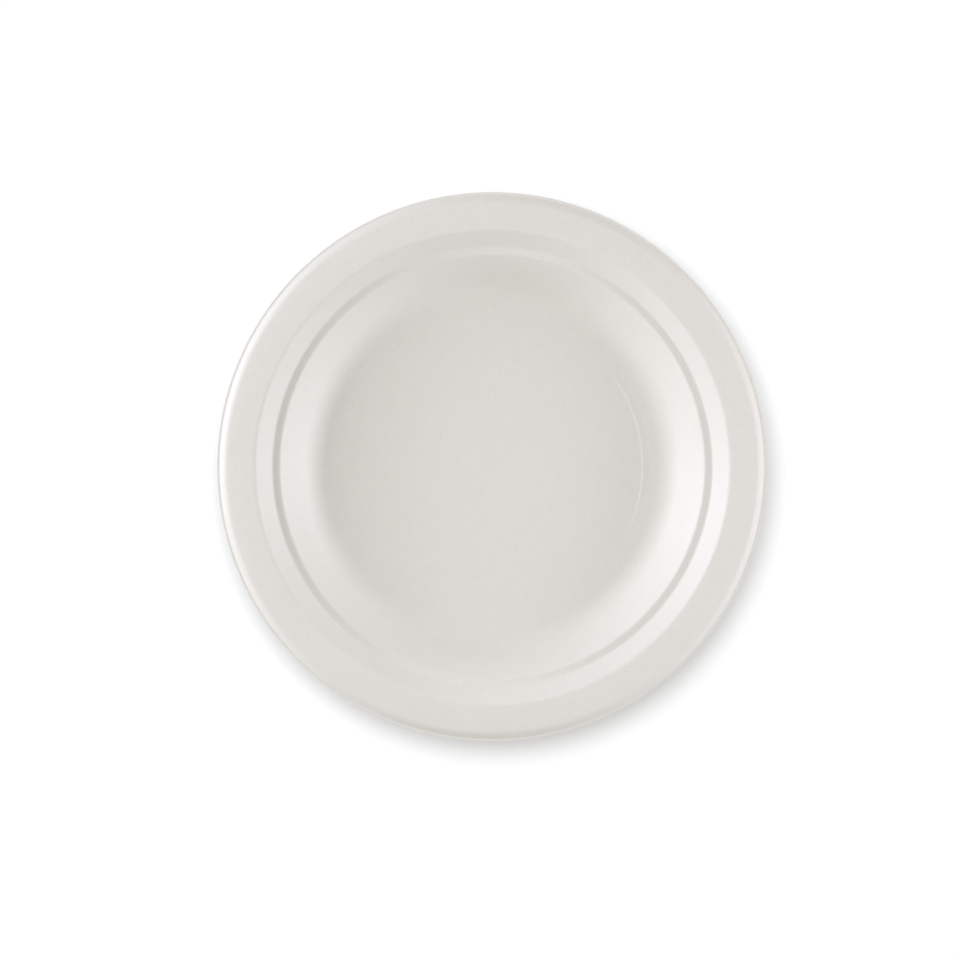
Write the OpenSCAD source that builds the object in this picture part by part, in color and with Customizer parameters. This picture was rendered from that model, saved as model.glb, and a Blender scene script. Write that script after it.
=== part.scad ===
/* [Overall] */
// Outside diameter, over the trimmed edge
plate_d = 228; // [150:1:300]
// Overall height, from the table to the top of the rim
plate_h = 19.6; // [17:0.1:26]
// Thickness of the pressed pulp
wall = 0.7; // [0.5:0.05:1.2]

/* [Floor] */
// Rise of the middle of the floor above the ring that the plate stands on
dome_h = 0.5; // [0.2:0.05:1.2]
// Distance from the crest of the fine line round the floor out to the foot of the wall
foot_w = 11; // [10:0.5:16]
// Height of the fine raised line that the tool leaves round the floor
line_h = 0.12; // [0.05:0.01:0.2]
// Width of the line's short slope, up from the floor to its crest
line_rise = 0.9; // [0.5:0.05:1.5]
// Width over which the line fades from its crest to the ring that the plate stands on
line_fade = 2.6; // [1:0.1:3.5]

/* [Wall] */
// Width of the lower wall, seen from above
wall_run = 14; // [10:0.1:22]
// Height of the ledge above the table, measured on its upper face
ledge_h = 13.5; // [9:0.1:15]
// Width of the narrow ledge, seen from above
ledge_w = 3.2; // [2.5:0.1:8]
// Width of the upper slope between the ledge and the rim, seen from above
riser_run = 7.1; // [5:0.1:12]

/* [Rim] */
// Width of the rim between its inner corner and the lip
rim_w = 12; // [10:0.1:20]
// Fall of the rim's outer half, which gives it a slight crown
rim_fall = 0.3; // [0.1:0.05:0.8]
// Width of the turned-down lip, seen from above
lip_run = 2.5; // [2:0.05:5]
// Height that the lip drops by
lip_drop = 1.4; // [1:0.1:4]
// Width of the flat flange left outside the lip when the plate is trimmed
flange_w = 1; // [0.8:0.05:3]
// Thickness of the flange at its cut edge
edge_t = 0.5; // [0.3:0.05:0.7]

/* [Blends on the food side] */
// Radius between the floor and the lower wall
foot_blend = 13.5; // [8:0.5:16]
// Radius on the crest of the lower wall
crest_blend = 1.8; // [1.4:0.1:2.5]
// Radius in the corner between the ledge and the upper slope
valley_blend = 1.6; // [0.8:0.1:2]
// Radius on the shoulder between the upper slope and the rim
shoulder_blend = 2.8; // [2:0.1:5]
// Radius where the rim turns down into the lip
lip_blend = 3.8; // [1.5:0.1:5]
// Radius where the lip turns out into the flange
flange_blend = 1.2; // [0.4:0.1:1.6]

/* [Hidden] */
pulp_colour = [0.93, 0.92, 0.89];

// Largest turn of one straight piece of a blend, in degrees, and the fewest pieces it has
arc_step = 5;
least_steps = 4;
// Straight pieces along the dome, along each side of the fine line and round the plate
dome_steps = 6;
line_steps = 4;
turn_steps = 180;

edge_r = plate_d / 2;
lip_foot_r = edge_r - flange_w;
rim_edge_r = lip_foot_r - lip_run;
shoulder_r = rim_edge_r - rim_w;
valley_r = shoulder_r - riser_run;
crest_r = valley_r - ledge_w;
wall_foot_r = crest_r - wall_run;
line_r = wall_foot_r - foot_w;
floor_r = line_r - line_rise;
foot_r = line_r + line_fade;
rim_edge_h = plate_h - rim_fall;
flange_h = rim_edge_h - lip_drop;

// The rim's inner half is level and its outer half falls, blended over the middle half of it
crown_r = (shoulder_r + rim_edge_r) / 2;
crown_turn = atan(rim_fall / (rim_edge_r - crown_r));
crown_blend = rim_w / 4 / tan(crown_turn / 2);

// Corners of the food side from the standing ring to the trimmed edge: radius, height, blend
food_corners = [
    [foot_r, wall, 0],
    [wall_foot_r, wall, foot_blend],
    [crest_r, ledge_h, crest_blend],
    [valley_r, ledge_h, valley_blend],
    [shoulder_r, plate_h, shoulder_blend],
    [crown_r, plate_h, crown_blend],
    [rim_edge_r, rim_edge_h, lip_blend],
    [lip_foot_r, flange_h, flange_blend],
    [edge_r, flange_h, 0]
];

function point(corner) = [corner[0], corner[1]];
function left_of(v) = [-v[1], v[0]];

// Direction of the straight stretch that leaves corner i, or that reaches the last one
function heading(corners, i) =
    let (
        from = max(0, min(i, len(corners) - 2)),
        way = point(corners[from + 1]) - point(corners[from])
    )
    way / norm(way);

// Turn at corner i in degrees, positive where the section bends upwards
function turn_at(corners, i) =
    let (before = heading(corners, i - 1), after = heading(corners, i))
    atan2(cross(before, after), before * after);

// The same corners with every stretch moved down by the thickness t, which keeps the wall even
function underside_of(corners, t) = [
    for (i = [0 : len(corners) - 1])
        let (
            down = -left_of(heading(corners, i - 1)) - left_of(heading(corners, i)),
            shift = down * t * 2 / (down * down),
            place = point(corners[i]) + shift,
            blend = corners[i][2]
        )
        [place[0], place[1], blend > 0 ? blend + t * sign(turn_at(corners, i)) : 0]
];

// Points of the arc that blends corner i, or the corner itself where it has no blend
function blend_arc(corners, i) =
    let (
        corner = point(corners[i]),
        blend = corners[i][2],
        before = heading(corners, i - 1),
        turn = turn_at(corners, i),
        start = corner - before * blend * tan(abs(turn) / 2),
        centre = start + left_of(before) * blend * sign(turn),
        spoke = start - centre,
        steps = max(least_steps, ceil(abs(turn) / arc_step))
    )
    blend == 0 ? [corner] : [
        for (k = [0 : steps])
            let (a = turn * k / steps)
            centre + [spoke[0] * cos(a) - spoke[1] * sin(a), spoke[0] * sin(a) + spoke[1] * cos(a)]
    ];

function rounded(corners) = [
    for (i = [0 : len(corners) - 1])
        for (p = blend_arc(corners, i)) p
];

function reversed(points) = [for (i = [len(points) - 1 : -1 : 0]) points[i]];

// Shallow dome of the floor, from the middle out to the fine line, standing at height base
function floor_points(base) = [
    for (k = [0 : dome_steps])
        let (share = k / dome_steps)
        [floor_r * share, base + dome_h * (1 - share * share)]
];

// Fine line: a short smooth slope up from the floor, then a long fade down towards the ring
function line_points() = concat(
    [
        for (k = [1 : line_steps])
            let (share = k / line_steps)
            [floor_r + share * line_rise, wall + line_h * (1 - cos(180 * share)) / 2]
    ],
    [
        for (k = [1 : line_steps - 1])
            let (share = k / line_steps)
            [line_r + share * line_fade, wall + line_h * (1 + cos(180 * share)) / 2]
    ]
);

// Underside corners, with the flange thinned towards the edge where the die has pinched it
function table_corners() =
    let (even = underside_of(food_corners, wall), last = len(even) - 1)
    [for (i = [0 : last]) i < last ? even[i] : [edge_r, flange_h - edge_t, 0]];

// Half section of the pressed sheet, from the axis out to the trimmed edge and back underneath
module pressed_section() {
    polygon(concat(
        floor_points(wall),
        line_points(),
        rounded(food_corners),
        reversed(rounded(table_corners())),
        reversed(floor_points(0))
    ));
}

module plate() {
    color(pulp_colour)
        rotate_extrude($fn = turn_steps)
            pressed_section();
}

plate();
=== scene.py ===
import math

import bmesh
import bpy
from mathutils import Matrix, Vector, noise


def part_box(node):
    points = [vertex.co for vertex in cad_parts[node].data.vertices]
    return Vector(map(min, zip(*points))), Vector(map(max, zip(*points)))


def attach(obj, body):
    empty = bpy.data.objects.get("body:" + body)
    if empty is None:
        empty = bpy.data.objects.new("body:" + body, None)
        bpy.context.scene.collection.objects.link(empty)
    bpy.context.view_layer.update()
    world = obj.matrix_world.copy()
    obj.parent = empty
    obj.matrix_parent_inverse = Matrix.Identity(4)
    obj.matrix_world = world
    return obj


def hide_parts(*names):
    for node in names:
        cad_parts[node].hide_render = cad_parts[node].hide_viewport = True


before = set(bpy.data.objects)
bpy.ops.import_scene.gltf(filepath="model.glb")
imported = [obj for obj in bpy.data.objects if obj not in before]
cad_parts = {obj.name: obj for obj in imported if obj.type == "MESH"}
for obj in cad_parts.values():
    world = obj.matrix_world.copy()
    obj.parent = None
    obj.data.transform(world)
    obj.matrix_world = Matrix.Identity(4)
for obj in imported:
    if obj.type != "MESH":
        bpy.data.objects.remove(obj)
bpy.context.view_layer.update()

# The plate is one sheet of sugar-cane pulp, drawn onto a wire screen, pressed dry between two
# heated tools and trimmed round its flange. Its section is cut from the solid and turned again
# in finer steps, so that the sheet can carry the slight warp that a pressed plate dries with.
MM = 0.001
EIGHTH_STEPS = 45
FLOOR_STRETCH = 5.0 * MM
SLOPE_STRETCH = 2.5 * MM
LEAST_STRETCH = 1.7 * MM
BLEND_TURN = math.radians(1.0)
HOLD = 0.15 * MM
CUT_ROUNDING = 0.12 * MM
CUT_SEGMENTS = 3
TOUCH = 0.001 * MM
STRAIGHT = math.radians(0.05)
SOFT_STRETCH = 0.34 * MM
SOFT_ROUNDS = 7

edge_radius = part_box("plate")[1].x
floor_radius = 0.55 * edge_radius
SPLIT_START, SPLIT_END = 0.94 * edge_radius, 0.99 * edge_radius
SOFT_START, SOFT_END = 0.953 * edge_radius, 0.985 * edge_radius


def radius_of(vert):
    return math.hypot(vert.co.x, vert.co.y)


def half_section(node):
    """The solid's outline on the right of its axis, as a chain of edges in the plane y = 0."""
    cut = bmesh.new()
    cut.from_mesh(node.data)
    bmesh.ops.remove_doubles(cut, verts=cut.verts, dist=TOUCH)
    everything = cut.verts[:] + cut.edges[:] + cut.faces[:]
    bmesh.ops.bisect_plane(cut, geom=everything, dist=0.1 * TOUCH, plane_co=(0, 0, 0),
                           plane_no=(0, 1, 0), clear_inner=True, clear_outer=True)
    left_half = [v for v in cut.verts if v.co.x < -TOUCH]
    bmesh.ops.delete(cut, geom=left_half, context="VERTS")
    bmesh.ops.dissolve_limit(cut, angle_limit=STRAIGHT, verts=cut.verts, edges=cut.edges)
    return cut


def round_cut_edge(section):
    """The trimming die leaves the two corners of the flange's edge slightly rounded."""
    corners = [v for v in section.verts if radius_of(v) > edge_radius - TOUCH]
    bmesh.ops.bevel(section, geom=corners, affect="VERTICES", offset=CUT_ROUNDING,
                    segments=CUT_SEGMENTS, profile=0.5, material=-1)


def split_stretches(section):
    """Cuts each straight stretch close to the blends at its ends, so that it shades flat, and at
    even steps along it, so that it can bend when the sheet warps."""
    for edge in section.edges[:]:
        if edge.calc_length() < LEAST_STRETCH:
            continue
        for end in edge.verts[:]:
            if end.calc_edge_angle(0.0) > BLEND_TURN:
                held = bmesh.utils.edge_split(edge, end, HOLD / edge.calc_length())[1]
                edge = max(held.link_edges, key=lambda e: e.calc_length())
        outer = max(radius_of(v) for v in edge.verts)
        stretch = FLOOR_STRETCH if outer <= floor_radius else SLOPE_STRETCH
        cuts = math.ceil(edge.calc_length() / stretch) - 1
        if cuts > 0:
            bmesh.ops.subdivide_edges(section, edges=[edge], cuts=cuts)


def soften_lip(section):
    """The tools turn the rim into the lip more gently than the solid does."""
    for edge in section.edges[:]:
        if not all(SPLIT_START < radius_of(v) < SPLIT_END for v in edge.verts):
            continue
        cuts = math.ceil(edge.calc_length() / SOFT_STRETCH) - 1
        if cuts > 0:
            bmesh.ops.subdivide_edges(section, edges=[edge], cuts=cuts)
    soft = [v for v in section.verts if SOFT_START < radius_of(v) < SOFT_END]
    for _ in range(SOFT_ROUNDS):
        bmesh.ops.smooth_vert(section, verts=soft, factor=0.5, use_axis_x=True, use_axis_z=True)


def turn_round(section):
    """Turns the section through an eighth, then copies the eighth on until the plate is whole."""
    bmesh.ops.spin(section, geom=section.verts[:] + section.edges[:], cent=(0, 0, 0),
                   axis=(0, 0, 1), dvec=(0, 0, 0), angle=math.tau / 8, steps=EIGHTH_STEPS,
                   use_merge=False, use_duplicate=False)
    for parts in (8, 4, 2):
        everything = section.verts[:] + section.edges[:] + section.faces[:]
        copied = bmesh.ops.duplicate(section, geom=everything)["geom"]
        moved = [g for g in copied if isinstance(g, bmesh.types.BMVert)]
        bmesh.ops.rotate(section, verts=moved, cent=(0, 0, 0),
                         matrix=Matrix.Rotation(math.tau / parts, 3, "Z"))
    bmesh.ops.remove_doubles(section, verts=section.verts, dist=TOUCH)
    bmesh.ops.recalc_face_normals(section, faces=section.faces)


sheet = half_section(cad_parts["plate"])
round_cut_edge(sheet)
split_stretches(sheet)
soften_lip(sheet)
turn_round(sheet)

# Material slots of the sheet: the food side, the table side and the trimmed edge
FOOD_SIDE, TABLE_SIDE, CUT_EDGE = 0, 1, 2
CUT_START = edge_radius - 1.1 * CUT_ROUNDING
for face in sheet.faces:
    face.smooth = True
    if all(radius_of(v) > CUT_START for v in face.verts):
        face.material_index = CUT_EDGE
    else:
        face.material_index = FOOD_SIDE if face.normal.z > 0 else TABLE_SIDE

# The tool has pressed its fine line sharply on the right of the floor and hardly elsewhere
LINE_START, LINE_END = 0.5465 * edge_radius, 0.578 * edge_radius
LINE_AZIMUTH = math.radians(8)
SHARP_COS, FAINT_COS = 0.96, 0.78
SHARP_SHARE, FAINT_SHARE = 1.35, 0.12


def eased(value, start, end):
    """Rises smoothly from 0 to 1 as the value goes from start to end."""
    t = min(1.0, max(0.0, (value - start) / (end - start)))
    return t * t * (3.0 - 2.0 * t)


def line_share(vert):
    """Share of its height in the solid that the fine line has in the direction of this point."""
    facing = math.cos(math.atan2(vert.co.y, vert.co.x) - LINE_AZIMUTH)
    return FAINT_SHARE + (SHARP_SHARE - FAINT_SHARE) * eased(facing, FAINT_COS, SHARP_COS)


food_side = {v for f in sheet.faces if f.material_index == FOOD_SIDE for v in f.verts}
line_ring = [v for v in food_side if LINE_START <= radius_of(v) <= LINE_END]
ring_height = min(v.co.z for v in line_ring)
for vert in line_ring:
    vert.co.z = ring_height + (vert.co.z - ring_height) * line_share(vert)

# The lip is pressed and trimmed a touch to the left of the rest
OFF_CENTRE = Vector((-0.3 * MM, 0.0, 0.0))
RIM_END, LIP_START = 0.92 * edge_radius, 0.952 * edge_radius
for vert in sheet.verts:
    vert.co += OFF_CENTRE * eased(radius_of(vert), RIM_END, LIP_START)

# The rim dries slightly out of level, and both faces have the soft unevenness of felted pulp
RIM_WARP = 0.25 * MM
WARP_LENGTH = 70.0 * MM
UNEVENNESS = 0.012 * MM
UNEVEN_LENGTH = 9.0 * MM
sheet.normal_update()
shifts = []
for vert in sheet.verts:
    lift = max(0.0, (radius_of(vert) - floor_radius) / (edge_radius - floor_radius))
    warp = RIM_WARP * lift * lift * noise.noise(Vector((vert.co.x, vert.co.y, 0.0)) / WARP_LENGTH)
    uneven = UNEVENNESS * noise.noise(vert.co / UNEVEN_LENGTH)
    shifts.append(Vector((0, 0, warp)) + vert.normal * uneven)
for vert, shift in zip(sheet.verts, shifts):
    vert.co += shift

plate_mesh = bpy.data.meshes.new("pulp_plate")
sheet.to_mesh(plate_mesh)
sheet.free()
plate = bpy.data.objects.new("pulp_plate", plate_mesh)
bpy.context.scene.collection.objects.link(plate)


def new_node(tree, kind, inputs=None, **settings):
    """Adds a shader node; an input is given as a value or as the socket that feeds it."""
    made = tree.nodes.new(kind)
    for name, value in settings.items():
        setattr(made, name, value)
    for socket, value in (inputs or {}).items():
        if isinstance(value, bpy.types.NodeSocket):
            tree.links.new(value, made.inputs[socket])
        else:
            made.inputs[socket].default_value = value
    return made


def math_node(tree, operation, a, b=0.0):
    return new_node(tree, "ShaderNodeMath", {0: a, 1: b}, operation=operation).outputs[0]


def scaled(tree, value, low, high):
    """Maps a mask from 0 to 1 onto the range from low to high."""
    return new_node(tree, "ShaderNodeMapRange",
                    {"Value": value, "To Min": low, "To Max": high}).outputs[0]


def blended(tree, mask, first, second):
    """Mixes two colours by a mask; the colour sockets of a Mix node are numbers 6, 7 and 2."""
    return new_node(tree, "ShaderNodeMix", {0: mask, 6: first, 7: second},
                    data_type="RGBA").outputs[2]


def new_group(name, inputs, outputs):
    """Starts a shader node group; inputs and outputs map a socket's name to its kind."""
    tree = bpy.data.node_groups.new(name, "ShaderNodeTree")
    for label, kind in inputs.items():
        tree.interface.new_socket(label, in_out="INPUT", socket_type=kind)
    for label, kind in outputs.items():
        tree.interface.new_socket(label, in_out="OUTPUT", socket_type=kind)
    return tree, tree.nodes.new("NodeGroupInput").outputs, tree.nodes.new("NodeGroupOutput").inputs


NUMBER, VECTOR = "NodeSocketFloat", "NodeSocketVector"

# Places are in metres, so a pattern's scale is its number of features in a metre
BENDS = 260.0
BEND_REACH = 1.6 * MM
STRAND_EDGE, STRAND_CORE = 0.56, 0.72
FIBRE_LAYERS = 5
LAYER_OFFSET = Vector((0.013, 0.007, 0.011))
FIRST_TURN = 0.2
CLOUDS = 170.0
CLOUD_EDGE, CLOUD_CORE = 0.3, 0.7
SHIVE_CELLS = 300.0
CELLS_WITHOUT = 0.85
LARGEST_SHIVE = 0.035


def strands_group():
    """One layer of felted fibres that lie more or less one way, as a mask from 0 to 1."""
    tree, given, out = new_group(
        "pulp_strands",
        {"Place": VECTOR, "Turn": NUMBER, "Length": NUMBER, "Width": NUMBER},
        {"Strand": NUMBER})
    bend = new_node(tree, "ShaderNodeTexNoise",
                    {"Vector": given["Place"], "Scale": BENDS, "Detail": 1.0})
    bend = new_node(tree, "ShaderNodeVectorMath", {0: bend.outputs["Color"], "Scale": BEND_REACH},
                    operation="SCALE").outputs[0]
    bent = new_node(tree, "ShaderNodeVectorMath", {0: given["Place"], 1: bend},
                    operation="ADD").outputs[0]
    turned = new_node(tree, "ShaderNodeVectorRotate", {"Vector": bent, "Angle": given["Turn"]},
                      rotation_type="Z_AXIS").outputs[0]
    cell = new_node(tree, "ShaderNodeCombineXYZ",
                    {"X": given["Length"], "Y": given["Width"], "Z": given["Width"]}).outputs[0]
    drawn = new_node(tree, "ShaderNodeVectorMath", {0: turned, 1: cell},
                     operation="DIVIDE").outputs[0]
    grain = new_node(tree, "ShaderNodeTexNoise", {"Vector": drawn, "Scale": 1.0, "Detail": 1.0})
    strand = new_node(tree, "ShaderNodeMapRange", {"Value": grain.outputs["Fac"],
                                                   "From Min": STRAND_EDGE,
                                                   "From Max": STRAND_CORE},
                      interpolation_type="SMOOTHSTEP")
    tree.links.new(strand.outputs[0], out["Strand"])
    return tree


def felt_group(strands):
    """Fibres that lie in every direction, with the clouds and the stray shives of the pulp."""
    tree, given, out = new_group(
        "felted_pulp",
        {"Place": VECTOR, "Fibre Length": NUMBER, "Fibre Width": NUMBER},
        {"Fibres": NUMBER, "Clouds": NUMBER, "Shives": NUMBER})
    layers = []
    for layer in range(FIBRE_LAYERS):
        offset = new_node(tree, "ShaderNodeVectorMath",
                          {0: given["Place"], 1: LAYER_OFFSET * layer}, operation="ADD").outputs[0]
        made = new_node(tree, "ShaderNodeGroup", node_tree=strands)
        tree.links.new(offset, made.inputs["Place"])
        tree.links.new(given["Fibre Length"], made.inputs["Length"])
        tree.links.new(given["Fibre Width"], made.inputs["Width"])
        made.inputs["Turn"].default_value = math.pi * layer / FIBRE_LAYERS + FIRST_TURN
        layers.append(made.outputs["Strand"])
    fibres = layers[0]
    for layer in layers[1:]:
        fibres = math_node(tree, "MAXIMUM", fibres, layer)
    tree.links.new(fibres, out["Fibres"])
    clouds = new_node(tree, "ShaderNodeTexNoise",
                      {"Vector": given["Place"], "Scale": CLOUDS, "Detail": 5.0, "Roughness": 0.55})
    tree.links.new(clouds.outputs["Fac"], out["Clouds"])
    cells = new_node(tree, "ShaderNodeTexVoronoi",
                     {"Vector": given["Place"], "Scale": SHIVE_CELLS, "Randomness": 1.0})
    pick = new_node(tree, "ShaderNodeSeparateColor", {0: cells.outputs["Color"]})
    size = new_node(tree, "ShaderNodeMapRange",
                    {"Value": pick.outputs[0], "From Min": CELLS_WITHOUT, "From Max": 1.0,
                     "To Min": 0.0, "To Max": LARGEST_SHIVE}).outputs[0]
    shive = math_node(tree, "LESS_THAN", cells.outputs["Distance"], size)
    tree.links.new(shive, out["Shives"])
    return tree


def screen_group():
    """The mark of the woven wire that the wet pulp was drawn onto, from 0 to 1."""
    tree, given, out = new_group("screen_mark", {"Place": VECTOR, "Pitch": NUMBER},
                                 {"Wires": NUMBER})
    parts = new_node(tree, "ShaderNodeSeparateXYZ", {0: given["Place"]}).outputs
    turns = [math_node(tree, "MULTIPLY", math_node(tree, "DIVIDE", parts[i], given["Pitch"]),
                       math.pi) for i in (0, 1)]
    wires = [math_node(tree, "ABSOLUTE", math_node(tree, "SINE", turn)) for turn in turns]
    tree.links.new(math_node(tree, "MULTIPLY", wires[0], wires[1]), out["Wires"])
    return tree


felt = felt_group(strands_group())
screen = screen_group()

PALE = (0.847, 0.822, 0.795, 1.0)
DEEP = (0.827, 0.802, 0.775, 1.0)
FIBRE = (0.885, 0.863, 0.838, 1.0)
SHIVE = (0.62, 0.54, 0.43, 1.0)
SHIVE_STRENGTH = 0.5
FIBRE_LENGTH = 2.2 * MM
FIBRE_WIDTH = 0.2 * MM
FELT_ROUGHNESS, FIBRE_ROUGHNESS = 0.54, 0.45
GRAINS = 2600.0
FIBRE_HEIGHT, GRAIN_HEIGHT = 0.6, 0.5


def pulp_material(name, relief, screen_pitch=None, screen_depth=0.0):
    """Dry pressed pulp: matt, faintly clouded, with fibres felted into its face."""
    material = bpy.data.materials.new(name)
    material.use_nodes = True
    tree = material.node_tree
    shader = tree.nodes["Principled BSDF"]
    place = new_node(tree, "ShaderNodeTexCoord").outputs["Object"]
    pulp = new_node(tree, "ShaderNodeGroup", node_tree=felt)
    tree.links.new(place, pulp.inputs["Place"])
    pulp.inputs["Fibre Length"].default_value = FIBRE_LENGTH
    pulp.inputs["Fibre Width"].default_value = FIBRE_WIDTH
    cloud = new_node(tree, "ShaderNodeMapRange", {"Value": pulp.outputs["Clouds"],
                                                  "From Min": CLOUD_EDGE,
                                                  "From Max": CLOUD_CORE})
    tone = blended(tree, cloud.outputs[0], DEEP, PALE)
    felted = blended(tree, pulp.outputs["Fibres"], tone, FIBRE)
    fleck = math_node(tree, "MULTIPLY", pulp.outputs["Shives"], SHIVE_STRENGTH)
    tree.links.new(blended(tree, fleck, felted, SHIVE), shader.inputs["Base Color"])
    tree.links.new(scaled(tree, pulp.outputs["Fibres"], FELT_ROUGHNESS, FIBRE_ROUGHNESS),
                   shader.inputs["Roughness"])
    grain = new_node(tree, "ShaderNodeTexNoise", {"Vector": place, "Scale": GRAINS, "Detail": 3.0})
    height = math_node(tree, "ADD",
                       math_node(tree, "MULTIPLY", pulp.outputs["Fibres"], FIBRE_HEIGHT),
                       math_node(tree, "MULTIPLY", grain.outputs["Fac"], GRAIN_HEIGHT))
    if screen_pitch:
        mark = new_node(tree, "ShaderNodeGroup", node_tree=screen)
        tree.links.new(place, mark.inputs["Place"])
        mark.inputs["Pitch"].default_value = screen_pitch
        height = math_node(tree, "ADD", height,
                           math_node(tree, "MULTIPLY", mark.outputs["Wires"], screen_depth))
    bump = new_node(tree, "ShaderNodeBump", {"Strength": 1.0, "Distance": relief, "Height": height})
    tree.links.new(bump.outputs[0], shader.inputs["Normal"])
    return material


plate_mesh.materials.append(pulp_material("pulp_food_side", 0.03 * MM))
plate_mesh.materials.append(pulp_material("pulp_table_side", 0.04 * MM, screen_pitch=0.9 * MM,
                                          screen_depth=0.9))
plate_mesh.materials.append(pulp_material("pulp_cut_edge", 0.03 * MM))

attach(plate, "root")
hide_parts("plate")

# The camera looks down through a long lens, from a touch behind the plate and to its left. The
# plate lies a little to the right of and above the middle of the picture, as in the photograph.
PICTURE = 960
RIM_PIXEL = (492.8, 467.4)
EDGE_RADIUS_PIXELS = 275.0
CAMERA_PLACE = Vector((-0.062, 0.103, 3.0))
rim_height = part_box("plate")[1].z
pixel = edge_radius / EDGE_RADIUS_PIXELS
aim = Vector(((PICTURE / 2 - RIM_PIXEL[0]) * pixel, (RIM_PIXEL[1] - PICTURE / 2) * pixel, rim_height))
look = (aim - CAMERA_PLACE).normalized()
camera_data = bpy.data.cameras.new("camera")
camera_data.sensor_width = 36.0
camera_data.lens = camera_data.sensor_width * (aim - CAMERA_PLACE).length / (PICTURE * pixel)
camera_data.clip_end = 20.0
camera = bpy.data.objects.new("camera", camera_data)
camera.location = CAMERA_PLACE
camera.rotation_euler = (math.asin(look.y), math.atan2(-look.x, -look.z), 0.0)
bpy.context.scene.collection.objects.link(camera)
bpy.context.scene.camera = camera

# The table is a sheet of cool white paper. It keeps the plate's soft shadow, and away from the
# plate it turns into plain white. From below it can be seen through, and a round opening hidden
# under the floor of the plate lets the room light the plate's underside.
TABLE_RADIUS = 2.0
OPENING_RADIUS = 0.6 * edge_radius
TABLE_STEPS = 96
TABLE_DROP = 0.05 * MM
PAPER_WHITE = (0.87, 0.895, 0.935, 1.0)
PAPER_GLOW = 0.325
PLAIN_WHITE = 1.02
FADE_START, FADE_END = 1.3 * edge_radius, 2.2 * edge_radius


def seen_directly(tree):
    """Mask of the rays that show a thing itself, and not the light it throws on others."""
    path = new_node(tree, "ShaderNodeLightPath").outputs
    mirrored = math_node(tree, "MAXIMUM", path["Is Glossy Ray"], path["Is Transmission Ray"])
    return math_node(tree, "MAXIMUM", path["Is Camera Ray"], mirrored)


table_mesh = bpy.data.meshes.new("table")
table_form = bmesh.new()
ends = [table_form.verts.new((reach, 0, -TABLE_DROP)) for reach in (OPENING_RADIUS, TABLE_RADIUS)]
spoke = table_form.edges.new(ends)
bmesh.ops.spin(table_form, geom=ends + [spoke], cent=(0, 0, 0), axis=(0, 0, 1), dvec=(0, 0, 0),
               angle=math.tau, steps=TABLE_STEPS, use_merge=True, use_duplicate=False)
table_form.normal_update()
downward = [face for face in table_form.faces if face.normal.z < 0]
bmesh.ops.reverse_faces(table_form, faces=downward)
table_form.to_mesh(table_mesh)
table_form.free()
table = bpy.data.objects.new("table", table_mesh)
bpy.context.scene.collection.objects.link(table)
paper = bpy.data.materials.new("white_table")
paper.use_nodes = True
tree = paper.node_tree
tree.nodes.remove(tree.nodes["Principled BSDF"])
surface = tree.nodes["Material Output"].inputs["Surface"]
seen = seen_directly(tree)
place = new_node(tree, "ShaderNodeTexCoord").outputs["Object"]
away = new_node(tree, "ShaderNodeVectorMath", {0: place}, operation="LENGTH").outputs["Value"]
far = new_node(tree, "ShaderNodeMapRange",
               {"Value": away, "From Min": FADE_START, "From Max": FADE_END},
               interpolation_type="SMOOTHSTEP").outputs[0]
matt = new_node(tree, "ShaderNodeBsdfDiffuse", {"Color": PAPER_WHITE})
lift = new_node(tree, "ShaderNodeEmission",
                {"Strength": math_node(tree, "MULTIPLY", seen, PAPER_GLOW)})
near = new_node(tree, "ShaderNodeAddShader", {0: matt.outputs[0], 1: lift.outputs[0]})
white = new_node(tree, "ShaderNodeEmission", {"Strength": PLAIN_WHITE})
fade = math_node(tree, "MULTIPLY", seen, far)
whole = new_node(tree, "ShaderNodeMixShader", {0: fade, 1: near.outputs[0], 2: white.outputs[0]})
clear = new_node(tree, "ShaderNodeBsdfTransparent")
under = new_node(tree, "ShaderNodeNewGeometry").outputs["Backfacing"]
shown = new_node(tree, "ShaderNodeMixShader", {0: under, 1: whole.outputs[0], 2: clear.outputs[0]})
tree.links.new(shown.outputs[0], surface)
table_mesh.materials.append(paper)

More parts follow.
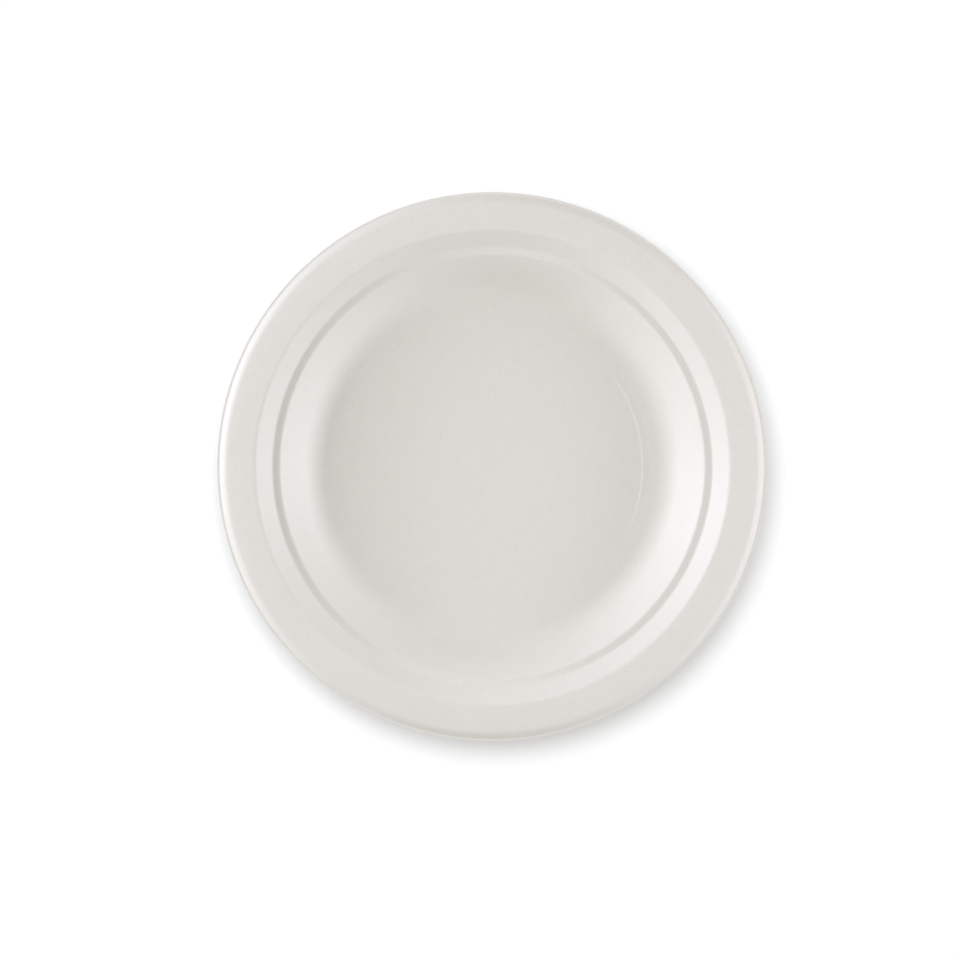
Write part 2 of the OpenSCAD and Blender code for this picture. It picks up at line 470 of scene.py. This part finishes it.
# Four round lamps light the plate: two from the left, a low one from the right and one above it.
# They light nothing else, as their long shadows aren't wanted on the white table, which has a
# high lamp of its own from behind. A pale, slightly warm room gives the rest.
LAMP_DISTANCE = 1.2


def lit_alone(piece):
    """A group that holds one piece, for the lamps that light nothing else."""
    group = bpy.data.collections.new(piece.name + "_light")
    group.objects.link(piece)
    return group


def soft_box(name, azimuth, elevation, size, power, colour, group):
    """A round lamp that faces the plate from a direction in degrees and lights one group alone."""
    lamp = bpy.data.lights.new(name, "AREA")
    lamp.shape = "DISK"
    lamp.size = size
    lamp.energy = power
    lamp.color = colour
    box = bpy.data.objects.new(name, lamp)
    a, e = math.radians(azimuth), math.radians(elevation)
    away = Vector((math.cos(a) * math.cos(e), math.sin(a) * math.cos(e), math.sin(e)))
    box.location = away * LAMP_DISTANCE
    box.rotation_mode = "QUATERNION"
    box.rotation_quaternion = away.to_track_quat("Z", "Y")
    box.light_linking.receiver_collection = group
    bpy.context.scene.collection.objects.link(box)


on_plate = lit_alone(plate)
on_table = lit_alone(table)
soft_box("left_low", 165, 9, 0.36, 6.5, (0.77, 0.84, 1.0), on_plate)
soft_box("left_high", 172, 22, 0.6, 6.9, (1.0, 1.0, 1.0), on_plate)
soft_box("right_low", 0, 15, 0.36, 6.3, (0.9, 0.92, 1.0), on_plate)
soft_box("above", -15, 48, 0.5, 3.3, (0.94, 0.955, 1.0), on_plate)
soft_box("behind_high", 120, 74, 0.8, 7.6, (1.0, 1.0, 1.0), on_table)

ROOM_LEVEL = 0.374
ROOM_TINT = (1.0, 0.957, 0.851, 1.0)
world = bpy.data.worlds.new("room")
bpy.context.scene.world = world
world.use_nodes = True
tree = world.node_tree
background = tree.nodes["Background"]
seen = seen_directly(tree)
tree.links.new(scaled(tree, seen, ROOM_LEVEL, 1.0), background.inputs["Strength"])
tint = blended(tree, seen, ROOM_TINT, (1.0, 1.0, 1.0, 1.0))
tree.links.new(tint, background.inputs["Color"])

bpy.context.scene.view_settings.view_transform = "Standard"
